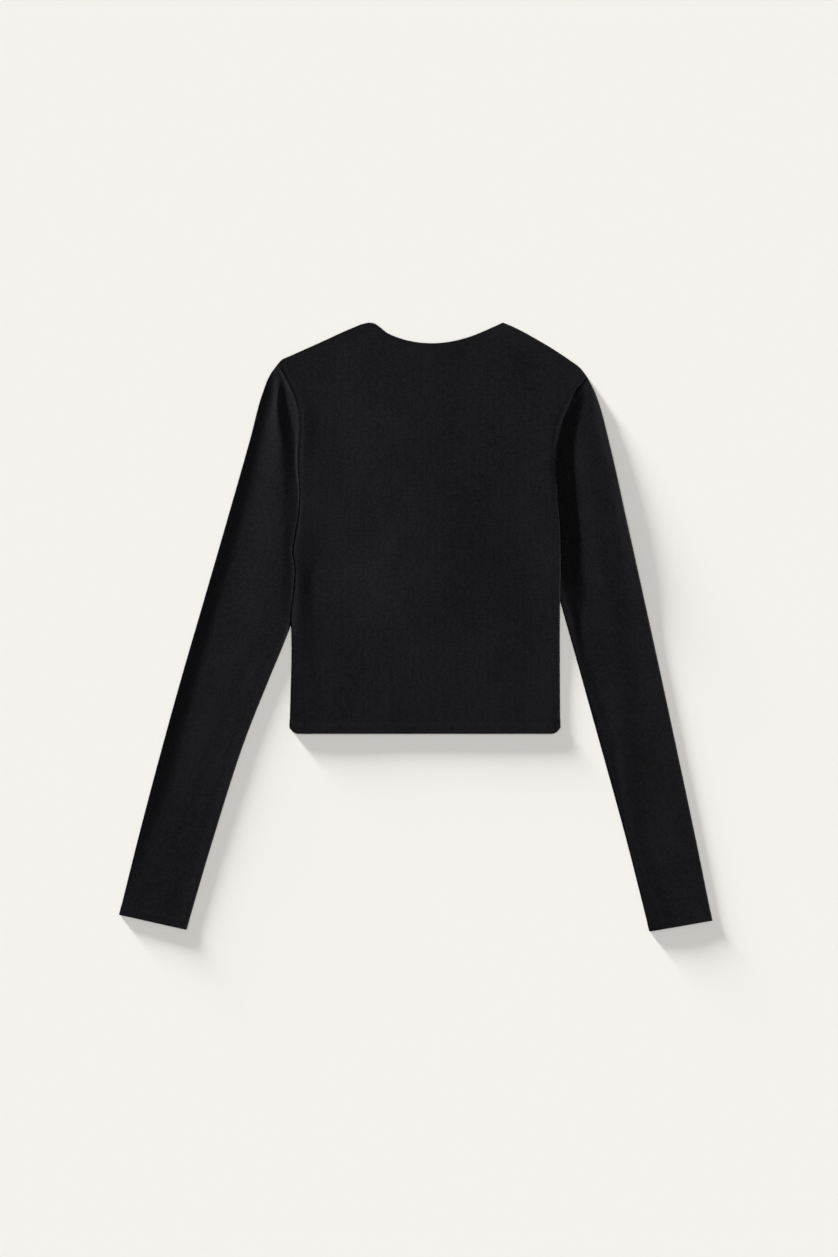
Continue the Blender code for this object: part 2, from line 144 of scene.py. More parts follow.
# %% [markdown]
# ## Folds placed one by one
#
# Cloth that is laid down and smoothed by hand keeps soft crests and troughs: a trough falls from
# the left shoulder point, a valley lies beside the right side, and the body swells where it
# passes over the left sleeve. A cloth simulation would put them where it likes, so each crest and
# trough is drawn as a line, with its height above the table, and the cloth runs smoothly
# from one line to the next.

# %% Crests and troughs of the body's upper layer
BODY_LINES = [
    # (x, y, height of the cloth's middle), from the left to the right
    [(-134.5, 384, 3.0), (-134.0, 361, 3.5), (-131.0, 339, 3.5), (-130.7, 317, 3.5),
     (-132.3, 296, 3.7), (-132.0, 253, 4.3), (-133.4, 231, 4.4), (-135.5, 209, 4.5),
     (-138.0, 188, 4.4), (-137.5, 166, 4.2), (-137.5, 145, 4.2), (-139.0, 123, 3.8),
     (-138.0, 80, 2.7), (-136.0, 15, 2.3)],
    [(-122.6, 384, 2.9), (-120.0, 361, 3.6), (-114.0, 339, 4.3), (-116.0, 317, 4.1),
     (-120.0, 296, 4.0), (-112.0, 253, 4.6), (-108.0, 209, 5.4), (-114.0, 188, 5.7),
     (-120.0, 166, 6.1), (-119.0, 145, 5.9), (-118.0, 123, 5.2), (-112.0, 80, 3.6),
     (-105.0, 15, 2.6)],
    [(0.0, 420, 2.5), (2.0, 330, 2.5), (5.0, 150, 2.4), (0.0, 0, 2.3)],
    [(104.0, 384, 3.1), (104.0, 339, 3.6), (104.0, 296, 3.9), (106.0, 253, 4.4),
     (108.0, 209, 5.0), (108.0, 166, 4.9), (110.0, 145, 4.6), (110.0, 123, 3.8),
     (112.0, 80, 2.8), (110.0, 15, 2.4)],
]
BODY_EDGES = {
    # height along the panel: of the side seams and, above the underarm, of the armholes
    "left": [(0.0, 2.15), (50.0, 2.2), (80.0, 2.4), (100.0, 3.0), (118.0, 4.4), (145.0, 5.2),
             (200.0, 5.4), (245.0, 5.3), (258.0, 4.8), (272.0, 4.2), (296.0, 4.0), (345.0, 4.0),
             (372.0, 3.3), (398.6, 2.4)],
    "right": [(0.0, 2.15), (70.0, 2.2), (100.0, 2.8), (125.0, 3.7), (144.0, 4.1), (200.0, 4.1),
              (245.0, 4.1), (258.0, 3.9), (272.0, 3.2), (296.0, 2.95), (345.0, 2.95),
              (365.0, 2.8), (384.6, 2.4)],
}

# %% Crests and troughs of the sleeves' upper layers
SLEEVE_LINES = {
    # lines from the left to the right, each as (x, y, height of the cloth's middle)
    "left": [
        [(-163.5, 380, 4.3), (-166.0, 361, 4.7), (-171.0, 339, 4.9), (-175.0, 317, 5.2),
         (-180.0, 296, 5.5), (-189.0, 253, 5.7), (-200.0, 209, 5.8), (-213.0, 166, 5.8),
         (-225.0, 123, 5.8), (-237.0, 80, 5.7), (-255.0, 15, 5.4), (-271.0, -50, 4.9),
         (-295.0, -114, 3.6), (-314.0, -168, 2.5), (-326.0, -215, 2.2)],
        [(-158.0, 384, 3.7), (-157.7, 361, 2.5), (-156.6, 339, 2.3), (-156.0, 317, 2.6),
         (-156.0, 296, 2.9), (-155.0, 274, 3.3), (-156.0, 253, 3.5), (-155.0, 209, 3.7),
         (-157.0, 166, 3.7), (-160.0, 123, 3.8), (-190.0, 80, 4.1), (-220.0, 15, 4.1),
         (-245.0, -50, 4.1), (-268.0, -114, 3.3), (-285.0, -168, 2.9), (-298.0, -215, 2.6)],
        [(-153.5, 384, 3.6), (-149.6, 361, 5.0), (-144.8, 339, 5.2), (-141.6, 317, 4.9),
         (-141.0, 296, 4.7), (-139.6, 274, 4.9), (-137.2, 253, 4.9), (-138.4, 235, 4.7),
         (-141.4, 216, 4.7), (-143.8, 197, 4.7), (-142.0, 177, 4.7), (-143.2, 155, 4.6),
         (-147.0, 124, 4.0), (-170.0, 80, 3.3), (-200.0, 15, 3.2), (-222.0, -50, 3.3),
         (-243.0, -114, 3.0), (-262.0, -168, 3.2), (-274.0, -215, 2.9)],
    ],
    "right": [
        [(155.5, 361, 2.5), (147.5, 339, 2.1), (144.5, 317, 1.95), (144.0, 296, 1.95),
         (145.0, 263, 1.95), (148.0, 231, 1.95), (149.0, 209, 1.95), (147.0, 180, 1.95),
         (147.0, 150, 2.0), (158.5, 123, 2.3), (164.0, 80, 2.4), (187.0, 15, 2.7),
         (203.5, -50, 2.6), (219.0, -114, 2.5), (244.0, -215, 2.3)],
        [(174.0, 361, 5.2), (168.0, 339, 6.3), (163.0, 317, 7.2), (162.0, 296, 7.7),
         (164.0, 263, 8.1), (167.0, 231, 8.2), (169.0, 209, 8.1), (170.0, 180, 7.3),
         (175.0, 150, 5.4), (169.0, 123, 3.9), (177.0, 80, 3.2), (199.0, 15, 3.1),
         (208.0, -50, 2.85), (221.5, -114, 2.5), (251.0, -215, 2.5)],
        [(178.5, 361, 5.2), (176.0, 339, 6.3), (176.0, 317, 7.0), (178.0, 296, 7.3),
         (184.0, 253, 7.7), (190.0, 209, 7.4), (193.0, 166, 5.7), (195.0, 145, 4.8),
         (199.0, 123, 3.7), (201.5, 80, 3.1), (210.0, 15, 2.8), (215.0, -50, 2.65),
         (224.0, -114, 2.6), (260.0, -215, 2.7)],
        [(180.0, 361, 5.2), (181.0, 339, 6.3), (186.0, 317, 7.0), (191.0, 296, 7.3),
         (200.0, 253, 7.6), (208.0, 209, 7.4), (213.0, 166, 6.0), (216.0, 145, 5.2),
         (220.0, 123, 4.3), (226.0, 80, 3.7), (234.0, 15, 3.4), (238.0, -50, 3.2),
         (243.0, -114, 3.3), (275.0, -215, 3.0)],
    ],
}
OUTER_EDGES = {
    # height along the outer fold, taken a little outside it
    "left": [(398.6, 2.4), (385.0, 2.0), (361.0, 1.6), (317.0, 1.5), (-50.0, 1.5), (-100.0, 1.7),
             (-150.0, 2.1), (-215.0, 2.2)],
    "right": [(384.6, 2.4), (361.0, 3.2), (339.0, 4.6), (296.0, 5.8), (200.0, 5.8), (150.0, 4.0),
              (110.0, 3.0), (60.0, 2.7), (-50.0, 2.5), (-215.0, 2.2)],
}
OUTER_REACH = {"left": 7.0, "right": 5.0}
INNER_EDGES = {
    # height at the inner fold, once it is clear of the body
    "left": [(145.0, 3.4), (119.0, 2.9), (80.0, 2.6), (-50.0, 2.6), (-215.0, 2.2)],
    "right": [(145.0, 1.95), (80.0, 2.3), (-50.0, 2.3), (-215.0, 2.2)],
}

# %% [markdown]
# ## Lines and blends
#
# Every form below comes from the same few tools: a smooth line through points, a place at some
# share of its length, the distance to it, and an ease that goes from 0 to 1 without a corner.

# %% Helpers
def smooth_line(points, steps=24):
    """A smooth curve through the points, as a fine polyline."""
    points = np.array(points, float)
    at = np.concatenate([[0.0], np.cumsum(np.linalg.norm(np.diff(points, axis=0), axis=1))])
    slopes = np.gradient(points, at, axis=0)
    t = (np.arange(steps) / steps)[:, None]
    line = []
    for i in range(len(points) - 1):
        span = at[i + 1] - at[i]
        line.append((2 * t**3 - 3 * t**2 + 1) * points[i] + (t**3 - 2 * t**2 + t) * span * slopes[i]
                    + (3 * t**2 - 2 * t**3) * points[i + 1] + (t**3 - t**2) * span * slopes[i + 1])
    return np.concatenate(line + [points[-1:]])


def walk(line):
    """Distance covered at each point of a polyline."""
    return np.concatenate([[0.0], np.cumsum(np.linalg.norm(np.diff(line, axis=0), axis=1))])


def place(line, distance):
    """The points at the given distances along a polyline."""
    covered = walk(line)
    return np.stack([np.interp(distance, covered, line[:, axis]) for axis in (0, 1)], axis=-1)


def place_share(line, share):
    return place(line, np.asarray(share) * walk(line)[-1])


def ease(t):
    """0 below 0, 1 above 1, and smooth between."""
    t = np.clip(t, 0.0, 1.0)
    return t * t * (3 - 2 * t)


def distance_and_share(line, points):
    """Shortest distance from each point to a polyline, and the share of its length there."""
    flat = points.reshape(-1, 2)
    start, run = line[:-1], np.diff(line, axis=0)
    covered = walk(line)
    best = np.full(len(flat), np.inf)
    share = np.zeros(len(flat))
    for i in range(len(start)):
        t = np.clip(((flat - start[i]) @ run[i]) / (run[i] @ run[i]), 0.0, 1.0)
        far = np.linalg.norm(start[i] + t[:, None] * run[i] - flat, axis=1)
        nearer = far < best
        best[nearer] = far[nearer]
        share[nearer] = (covered[i] + t[nearer] * (covered[i + 1] - covered[i])) / covered[-1]
    return best.reshape(points.shape[:-1]), share.reshape(points.shape[:-1])


def graded(count, evenness):
    """Shares from 0 to 1, close together at both ends, where the folds and seams are."""
    t = np.linspace(0.0, 1.0, count)
    bunched = (1 - np.cos(np.pi * t)) / 2
    return evenness * t + (1 - evenness) * bunched


SIDES = {side: smooth_line([(row[1 + i], row[0]) for row in SIDE_EDGES])
         for i, side in enumerate(("left", "right"))}
SEAMS = {side: smooth_line([(row[2 * i], row[2 * i + 1]) for row in ARMHOLES])
         for i, side in enumerate(("left", "right"))}
print("armhole seams", {side: round(float(walk(line)[-1])) for side, line in SEAMS.items()}, "mm")

# %% [markdown]
# ## Heights
#
# On the table the front lies lowest and the back lies on it. Where a sleeve passes under the
# body, the sleeve is pressed thin and the body's edge rides up over it. All heights come from
# these rules, so neighbouring pieces keep clear of each other.

# %% Height rules
def over(table, y):
    """Smooth reading of a table of (place, value) rows at the places y."""
    line = smooth_line(sorted(table))
    return np.interp(y, line[:, 0], line[:, 1])


def across_lines(x, y, first, lines, last):
    """Cloth that runs from line to line. first and last are (x, height) at each point."""
    stops = [first]
    for line in lines:
        fine = smooth_line(sorted(line, key=lambda point: point[1]))
        stops.append((np.interp(y, fine[:, 1], fine[:, 0]), np.interp(y, fine[:, 1], fine[:, 2])))
    stops.append(last)
    height = stops[0][1] + 0 * x
    for (x0, z0), (x1, z1) in zip(stops[:-1], stops[1:]):
        height = height + (z1 - z0) * ease((x - x0) / np.maximum(x1 - x0, 1.0))
    return height


def body_edge_x(side, y):
    """The body's side edge and, above the underarm, its armhole."""
    line = np.concatenate([SIDES[side], SEAMS[side][1:]])
    return np.interp(y, line[:, 1], line[:, 0])


def inside_edge(side, x, y):
    """How far a point lies inside the body's side edge; it is negative outside."""
    return OUTWARD[side] * (np.interp(y, SIDES[side][:, 1], SIDES[side][:, 0]) - x)


EDGE_REACH = {"left": 4.0, "right": 0.0}     # how far outside the edge its height is reached


def back_height(x, y):
    """Height of the back's middle layer."""
    first, last = [(body_edge_x(side, y) + OUTWARD[side] * EDGE_REACH[side],
                    over(BODY_EDGES[side], y)) for side in ("left", "right")]
    return across_lines(x, y, first, BODY_LINES, last)


FRONT_HOLD = 14.0          # width along a side edge in which the front lies fully on the sleeve
FRONT_SPREAD = 34.0        # further width over which it comes down to the table
FRONT_RISE_START = 7.0     # how far above the underarm it starts to climb on the sleeve
FRONT_RISE = 24.0          # stretch that the climb takes


def front_height(x, y):
    """Height of the front's middle layer: on the table, but over the sleeves at both sides."""
    rises = []
    for side in ("left", "right"):
        edge = over(BODY_EDGES[side], y) - 2 * ROLL - CLOTH / 2
        near = 1.0 - ease((inside_edge(side, x, y) - FRONT_HOLD) / FRONT_SPREAD)
        rises.append(np.maximum(edge, 0.0) * near
                     * ease((UNDERARM + FRONT_RISE_START - y) / FRONT_RISE))
    return CLOTH / 2 + np.maximum(*rises)


UNEVENNESS = 0.03          # height of the waves that a smoothing hand leaves


def hand_smoothed(points):
    """The slight unevenness that is left when cloth is smoothed down by hand."""
    x, y = points[..., 0], points[..., 1]
    waves = (np.sin(x / 23.0 + 0.7 * np.sin(y / 61.0)) * np.sin(y / 47.0 + 1.3)
             + 0.6 * np.sin(x / 11.0 - y / 37.0 + 2.1) + 0.5 * np.sin(y / 17.0 + x / 53.0))
    return UNEVENNESS * waves


# %% [markdown]
# ## The cloth wall
#
# A piece is drawn as one open surface through the middle of the cloth. The Solidify modifier
# gives it its thickness, more where a hem is turned in, and a small Bevel rounds the cut edges.
# Modelling both faces by hand would give the same shape with twice the work.

# %% Making a piece of cloth
THICKNESS_LEVELS = 10      # steps between the plain cloth and the turned edge
CUT_EDGE_ROUNDING = 0.3
CUT_EDGE_ANGLE = 55.0


def grid_faces(rows, count, closed, first):
    """Four-sided faces over a grid of points whose numbers start at first."""
    index = first + np.arange(rows * count).reshape(rows, count)
    if closed:
        index = np.concatenate([index, index[:, :1]], axis=1)
    faces = np.stack([index[:-1, :-1], index[:-1, 1:], index[1:, 1:], index[1:, :-1]], axis=-1)
    return faces.reshape(-1, 4).tolist()


def cloth_piece(name, grids):
    """A wall of cloth through grids of points, in millimetres from the middle of the hem."""
    points, faces, thick = [], [], []
    for grid, closed, edge in grids:
        faces += grid_faces(*grid.shape[:2], closed, len(points))
        points += ((grid - np.array([MIDDLE_X, MIDDLE_Y, 0.0])) * MM).reshape(-1, 3).tolist()
        thick += edge.reshape(-1).tolist()
    mesh = bpy.data.meshes.new(name)
    mesh.from_pydata(points, [], faces)
    mesh.shade_smooth()
    piece = bpy.data.objects.new(name, mesh)
    bpy.context.scene.collection.objects.link(piece)
    group = piece.vertex_groups.new(name="turned edge")
    levels = np.round(np.array(thick) * THICKNESS_LEVELS)
    for level in range(1, THICKNESS_LEVELS + 1):
        group.add(np.flatnonzero(levels == level).tolist(), level / THICKNESS_LEVELS, "REPLACE")
    wall = piece.modifiers.new("cloth thickness", "SOLIDIFY")
    wall.thickness = TURNED * MM
    wall.offset = 0.0
    wall.use_quality_normals = True
    wall.vertex_group = group.name
    wall.thickness_vertex_group = CLOTH / TURNED
    rounded = piece.modifiers.new("soft cut edge", "BEVEL")
    rounded.width = CUT_EDGE_ROUNDING * MM
    rounded.segments = 2
    rounded.limit_method = "ANGLE"
    rounded.angle_limit = math.radians(CUT_EDGE_ANGLE)
    print(name, len(points), "points")
    return piece


# %% [markdown]
# ## Body panels
#
# The back and the front share their side, shoulder and armhole lines, as they do on the cutting
# table. Each is a smooth patch between its four edges. The side and shoulder edges turn over
# towards the other panel, as a laid tube of cloth does, and the hem and neck stay open.

# %% Panel plan
NECK_SHARES = (0.293, 0.733)      # where the neck points lie across the panel
UNDERARM_ROW = 0.62               # share of a panel's height that lies below the underarm


def side_line(which, v):
    v = np.asarray(v, float)
    below = place_share(SIDES[which], np.clip(v / UNDERARM_ROW, 0.0, 1.0))
    above = place_share(SEAMS[which], np.clip((v - UNDERARM_ROW) / (1 - UNDERARM_ROW), 0.0, 1.0))
    return np.where((v <= UNDERARM_ROW)[..., None], below, above)


def top_line(neck, u):
    start, end = NECK_SHARES
    left = place_share(smooth_line(LEFT_SHOULDER), np.clip(u / start, 0.0, 1.0))
    right = place_share(smooth_line(RIGHT_SHOULDER), np.clip((1 - u) / (1 - end), 0.0, 1.0))
    middle = place_share(neck, np.clip((u - start) / (end - start), 0.0, 1.0))
    return np.where((u <= start)[..., None], left, np.where((u >= end)[..., None], right, middle))


def patch(neck, u, v):
    """Points of the smooth patch between the hem, the sides and the top edge."""
    u, v = np.broadcast_arrays(u, v)
    across, up = u[..., None], v[..., None]
    left, right = side_line("left", v), side_line("right", v)
    ends = (1 - across) * side_line("left", 1.0) + across * side_line("right", 1.0)
    return up * top_line(neck, u) + (1 - across) * left + across * right - up * ends


def strip_inset(angle, fold):
    """How far in from the edge a fold's facet lies; fold is 1 for a full turn and 0 for none."""
    turned = CLOTH / 2 + ROLL * (1 - np.sin(angle))
    flat = EDGE_INSET * (1 - angle / (np.pi / 2))
    return fold * turned + (1 - fold) * flat


# %% Panel surface
SEAM_DIP = 0.45            # how far both edges sink at an armhole seam
SEAM_DIP_WIDTH = 2.2
SEAM_FADE = 0.06           # share of the seam over which this fades out at the shoulder
SHOULDER_START = 2.0       # how far outside a shoulder its cloth begins to leave the layer below
SHOULDER_RISE = 22.0       # width over which it comes to its full height
CALM_EDGE = 6.0            # width along a side edge over which the unevenness grows
CALM_EDGE_LEAST = 0.4      # its share at the very edge
COLUMN_EVENNESS = 0.55
ROW_EVENNESS = 0.75
LAST_ROW = 0.991           # the last row below the top edge's fold
PLAN_STEP = 0.002          # share over which the top edge's direction is read
RELIEFS = {
    # height, middle and half width of the low ridges and grooves along edges and stitching
    "seam allowance": (0.18, 3.4, 1.7),
    "hem edge": (0.10, 1.2, 1.3),
    "hem stitching": (-0.12, 11.2, 1.2),
    "neck edge": (0.20, 1.1, 1.1),
    "cuff edge": (0.10, 1.3, 1.3),
    "cuff stitching": (-0.14, CUFF_TURN, 1.1),
}


def relief(kind, far):
    """Height of a ridge or groove at a distance from the edge or seam that it follows."""
    height, middle, half_width = RELIEFS[kind]
    return height * np.exp(-((far - middle) / half_width) ** 2)


def seam_relief(far):
    """Groove at an armhole seam, and the low ridge that its allowance makes beside it."""
    hollow = np.clip(1 - far / SEAM_DIP_WIDTH, 0.0, 1.0)
    return relief("seam allowance", far) - SEAM_DIP * (1 - np.sqrt(1 - hollow**2))


def panel_points(piece, neck, turn, across_count, up_count):
    """Grid of a body panel. turn is -1 where its folds turn down and +1 where they turn up."""
    below = UNDERARM_ROW * graded(up_count, ROW_EVENNESS)[:-1]
    above = UNDERARM_ROW + (1 - UNDERARM_ROW) * graded(up_count * 2 // 3, ROW_EVENNESS)[:-1]
    up = np.concatenate([below, above])
    up = up[up < LAST_ROW]
    rows, facets = len(up) + 1 + TURN_STEPS, TURN[::-1]
    side_v = np.concatenate([up, np.ones(1 + TURN_STEPS)])
    left, right = side_line("left", side_v), side_line("right", side_v)
    width = np.linalg.norm(right - left, axis=1)
    fold = 1.0 - ease((left[:, 1] - UNDERARM) / SIDE_FOLD_FADE)
    inner = graded(across_count, COLUMN_EVENNESS)
    for share in NECK_SHARES:
        inner[np.abs(inner - share).argmin()] = share
    inset = (EDGE_INSET / width)[:, None]
    u = np.where(np.isin(inner, NECK_SHARES), inner, inset + inner * (1 - 2 * inset))
    strip = strip_inset(TURN, fold[:, None]) / width[:, None]
    u = np.concatenate([strip, u, 1 - strip[:, ::-1]], axis=1)
    angles = np.concatenate([TURN, np.zeros(across_count), TURN[::-1]])
    drop = fold[:, None] * (ROLL - FOLD_STOP) * (1 - np.cos(angles))
    v = np.repeat(side_v[:, None], u.shape[1], axis=1)
    step, last = PLAN_STEP, u[-1]
    run = patch(neck, last, 1.0 + 0 * last) - patch(neck, last, 1.0 - step + 0 * last)
    along = (top_line(neck, np.minimum(last + step, 1.0))
             - top_line(neck, np.maximum(last - step, 0.0)))
    along /= np.linalg.norm(along, axis=1)[:, None]
    climb = np.abs(run[:, 0] * along[:, 1] - run[:, 1] * along[:, 0]) / step
    neck_far = np.minimum(last - NECK_SHARES[0], NECK_SHARES[1] - last) * width[-1]
    shoulder = 1.0 - ease(neck_far / NECK_ROLL_FADE)
    for i, angle in enumerate(np.concatenate([[0.0], facets])):
        row = len(up) + i
        v[row] = 1 - strip_inset(angle, shoulder) / climb
        drop[row] = np.maximum(drop[row], shoulder * (ROLL - FOLD_STOP) * (1 - np.cos(angle)))
    plan = patch(neck, u, v)
    x, y = plan[..., 0], plan[..., 1]
    near_side = np.minimum(inside_edge("left", x, 0.0), inside_edge("right", x, 0.0))
    past = np.clip(HEM_CORNER - near_side, 0.0, HEM_CORNER_STOP * HEM_CORNER)
    rise = HEM_CORNER - np.sqrt(HEM_CORNER**2 - past**2)
    from_hem = y.copy()
    y = y + rise * (1 - ease(y / HEM_CORNER_REACH))
    plan = np.stack([x, y], axis=-1)
    top_edge = top_line(neck, np.linspace(*NECK_SHARES, 120))
    from_neck = distance_and_share(top_edge, plan)[0]
    thick = ease((HEM_TURN - from_hem) / TURN_BLEND)
    if piece == "front":
        z = front_height(x, y) + turn * drop + thick * (TURNED - CLOTH) / 2
        return np.stack([x, y, z], axis=-1), thick
    shoulders = np.concatenate([smooth_line(LEFT_SHOULDER), smooth_line(RIGHT_SHOULDER)[::-1]])
    from_shoulder = distance_and_share(shoulders, plan)[0]
    resting = CLOTH / 2 + 2 * ROLL
    risen = ease((from_shoulder + SHOULDER_START) / SHOULDER_RISE)
    z = resting + (back_height(x, y) - resting) * risen
    z += hand_smoothed(plan) * ease(near_side / CALM_EDGE + CALM_EDGE_LEAST) + turn * drop
    for side in ("left", "right"):
        far, share = distance_and_share(SEAMS[side], plan)
        z += seam_relief(far) * (1 - fold[:, None]) * ease((1 - share) / SEAM_FADE)
    z += thick * (TURNED - CLOTH)
    z += relief("hem edge", from_hem) + relief("hem stitching", from_hem)
    z += relief("neck edge", from_neck)
    return np.stack([x, y, z], axis=-1), thick


def front_neckline():
    """A plain scoop between the neck points, hidden below the back neckline."""
    start, end = np.array(BACK_NECK[0]), np.array(BACK_NECK[-1])
    share = np.linspace(0.0, 1.0, 121)[:, None]
    dip = 1 - np.abs(2 * share - 1) ** FRONT_NECK_POWER
    return start + share * (end - start) - dip * np.array([0.0, FRONT_NECK_DEPTH])


# %% [markdown]
# ## Sleeves
#
# A sleeve is a tube, laid flat. Its cross-sections start along the armhole, fan round the
# underarm and end square to the arm at the cuff. A loft through those sections keeps the
# true outline, and its upper layer can swell and dip on its own.

# %% Sleeve plan
ARM_SECTIONS = 190
EXITS = {"left": 126.0, "right": 150.0}       # height where the inner fold leaves the body
EXIT_FADE = 12.0           # stretch below it over which the fold's own height takes over
CAP_SPLITS = 10
SHOULDER_FADE = 26.0       # stretch over which the cap leaves the body's height
PRESS_START = 2.0          # how far below the underarm a sleeve starts to be pressed thin
PRESS_FADE = 16.0          # stretch that this takes
CALM_SEAM = 7.0            # width beside an armhole seam over which the unevenness grows
ABOVE_UNDERARM = 10.0      # stretch above the underarm over which the seam's relief grows
SEAM_END = 0.95            # share of the armhole from which its direction is read
DIRECTION_STEP = 2.0       # length over which a fold's direction is read
ALLOWANCE = 6.0            # width of the seam allowance, turned under the body
ALLOWANCE_OUT = 1.6        # how far it reaches out past the seam, into the sleeve's edge
ALLOWANCE_END = 0.985      # share of the seam at which it stops, short of the shoulder
ALLOWANCE_GAP = 0.05       # clear space between it and the back
ALLOWANCE_ROWS = 5
CUFF_MARGIN = 0.8          # how far past its stitching a cuff's turned edge reaches


def section_places(outer_line, inner_line):
    """Distances of each cross-section down the outer and the inner fold."""
    cap = np.array(CAP_SECTIONS)
    fine = np.linspace(0, len(cap) - 1, (len(cap) - 1) * CAP_SPLITS + 1)
    cap_fine = np.stack([smooth_column(cap[:, i], fine) for i in (0, 1)], axis=1)
    share = (np.arange(1, ARM_SECTIONS + 1) / ARM_SECTIONS)[:, None]
    ends = np.array([[walk(outer_line)[-1], walk(inner_line)[-1]]])
    arm = cap_fine[-1] + share * (ends - cap_fine[-1])
    return np.concatenate([cap_fine, arm]), fine / (len(cap) - 1)


def smooth_column(values, at):
    line = smooth_line(np.stack([np.arange(len(values)), values], axis=1))
    return np.interp(at, line[:, 0], line[:, 1])


def into_sleeve(line, distance, side, fold):
    """Direction from a fold into the sleeve."""
    run = place(line, distance + DIRECTION_STEP) - place(line, max(distance - DIRECTION_STEP, 0.0))
    run /= np.linalg.norm(run)
    square = np.array([-run[1], run[0]]) * OUTWARD[side]
    if fold == "inner":
        return square
    seam = place_share(SEAMS[side], SEAM_END) - SEAMS[side][-1]
    seam /= np.linalg.norm(seam)
    blend = ease(distance / SHOULDER_TURN)
    inward = blend * -square + (1 - blend) * seam
    return inward / np.linalg.norm(inward)


def section_points(side, outer_point, inner_point, share, bow):
    """Points across a sleeve: a straight line, plus the armhole's own curve where bow is 1."""
    seam = SEAMS[side][::-1]
    chord, seam_chord = inner_point - outer_point, seam[-1] - seam[0]
    offset = place_share(seam, share) - (seam[0] + share[:, None] * seam_chord)
    turn = math.atan2(chord[1], chord[0]) - math.atan2(seam_chord[1], seam_chord[0])
    cosine, sine = math.cos(turn), math.sin(turn)
    turned = np.stack([cosine * offset[:, 0] - sine * offset[:, 1],
                       sine * offset[:, 0] + cosine * offset[:, 1]], axis=1)
    return outer_point + share[:, None] * chord + bow * turned


# %% Sleeve surface
def upper_heights(side, points, from_cuff):
    """Heights of a sleeve's upper layer at points of the plan."""
    x, y = points[:, 0], points[:, 1]
    outer = smooth_line(OUTER_FOLDS[side])[::-1]
    inner = smooth_line(INNER_FOLDS[side])[::-1]
    outer_x = np.interp(y, outer[:, 1], outer[:, 0]) + OUTWARD[side] * OUTER_REACH[side]
    outer_stop = (outer_x, over(OUTER_EDGES[side], y))
    free = ease((EXITS[side] - y) / EXIT_FADE)
    inner_x = np.interp(y, inner[:, 1], inner[:, 0])
    under_x = body_edge_x(side, y)
    under = ease((UNDERARM - PRESS_START - y) / PRESS_FADE)
    seam_z = over(BODY_EDGES[side], y)
    edge_z = (1 - under) * seam_z + under * PRESSED
    inner_stop = ((1 - free) * under_x + free * inner_x,
                  (1 - free) * edge_z + free * over(INNER_EDGES[side], y))
    stops = (outer_stop, inner_stop) if side == "left" else (inner_stop, outer_stop)
    height = across_lines(x, y, stops[0], SLEEVE_LINES[side], stops[1])
    seam_far, seam_share = distance_and_share(SEAMS[side], points)
    top = SEAMS[side][-1][1]
    height = seam_z + (height - seam_z) * ease((top + SHOULDER_START - y) / SHOULDER_FADE)
    height += hand_smoothed(points) * ease(seam_far / CALM_SEAM)
    above = ease((y - UNDERARM) / ABOVE_UNDERARM)
    height += seam_relief(seam_far) * above * ease((1 - seam_share) / SEAM_FADE)
    height += relief("cuff stitching", from_cuff)
    height += relief("cuff edge", from_cuff)
    return np.maximum(height, PRESSED)


def allowance_points(side, count):
    """The sleeve's seam allowance, a strip that is turned under the back's armhole edge."""
    line = place_share(SEAMS[side], np.linspace(0.0, ALLOWANCE_END, count))
    run = np.gradient(line, axis=0)
    run /= np.linalg.norm(run, axis=1)[:, None]
    inward = np.stack([run[:, 1], -run[:, 0]], axis=1) * -OUTWARD[side]
    height = over(BODY_EDGES[side], line[:, 1]) - SEAM_DIP - CLOTH - ALLOWANCE_GAP
    reach = np.linspace(-ALLOWANCE_OUT, ALLOWANCE, ALLOWANCE_ROWS)
    return np.array([np.column_stack([line + inward * far, height]) for far in reach])


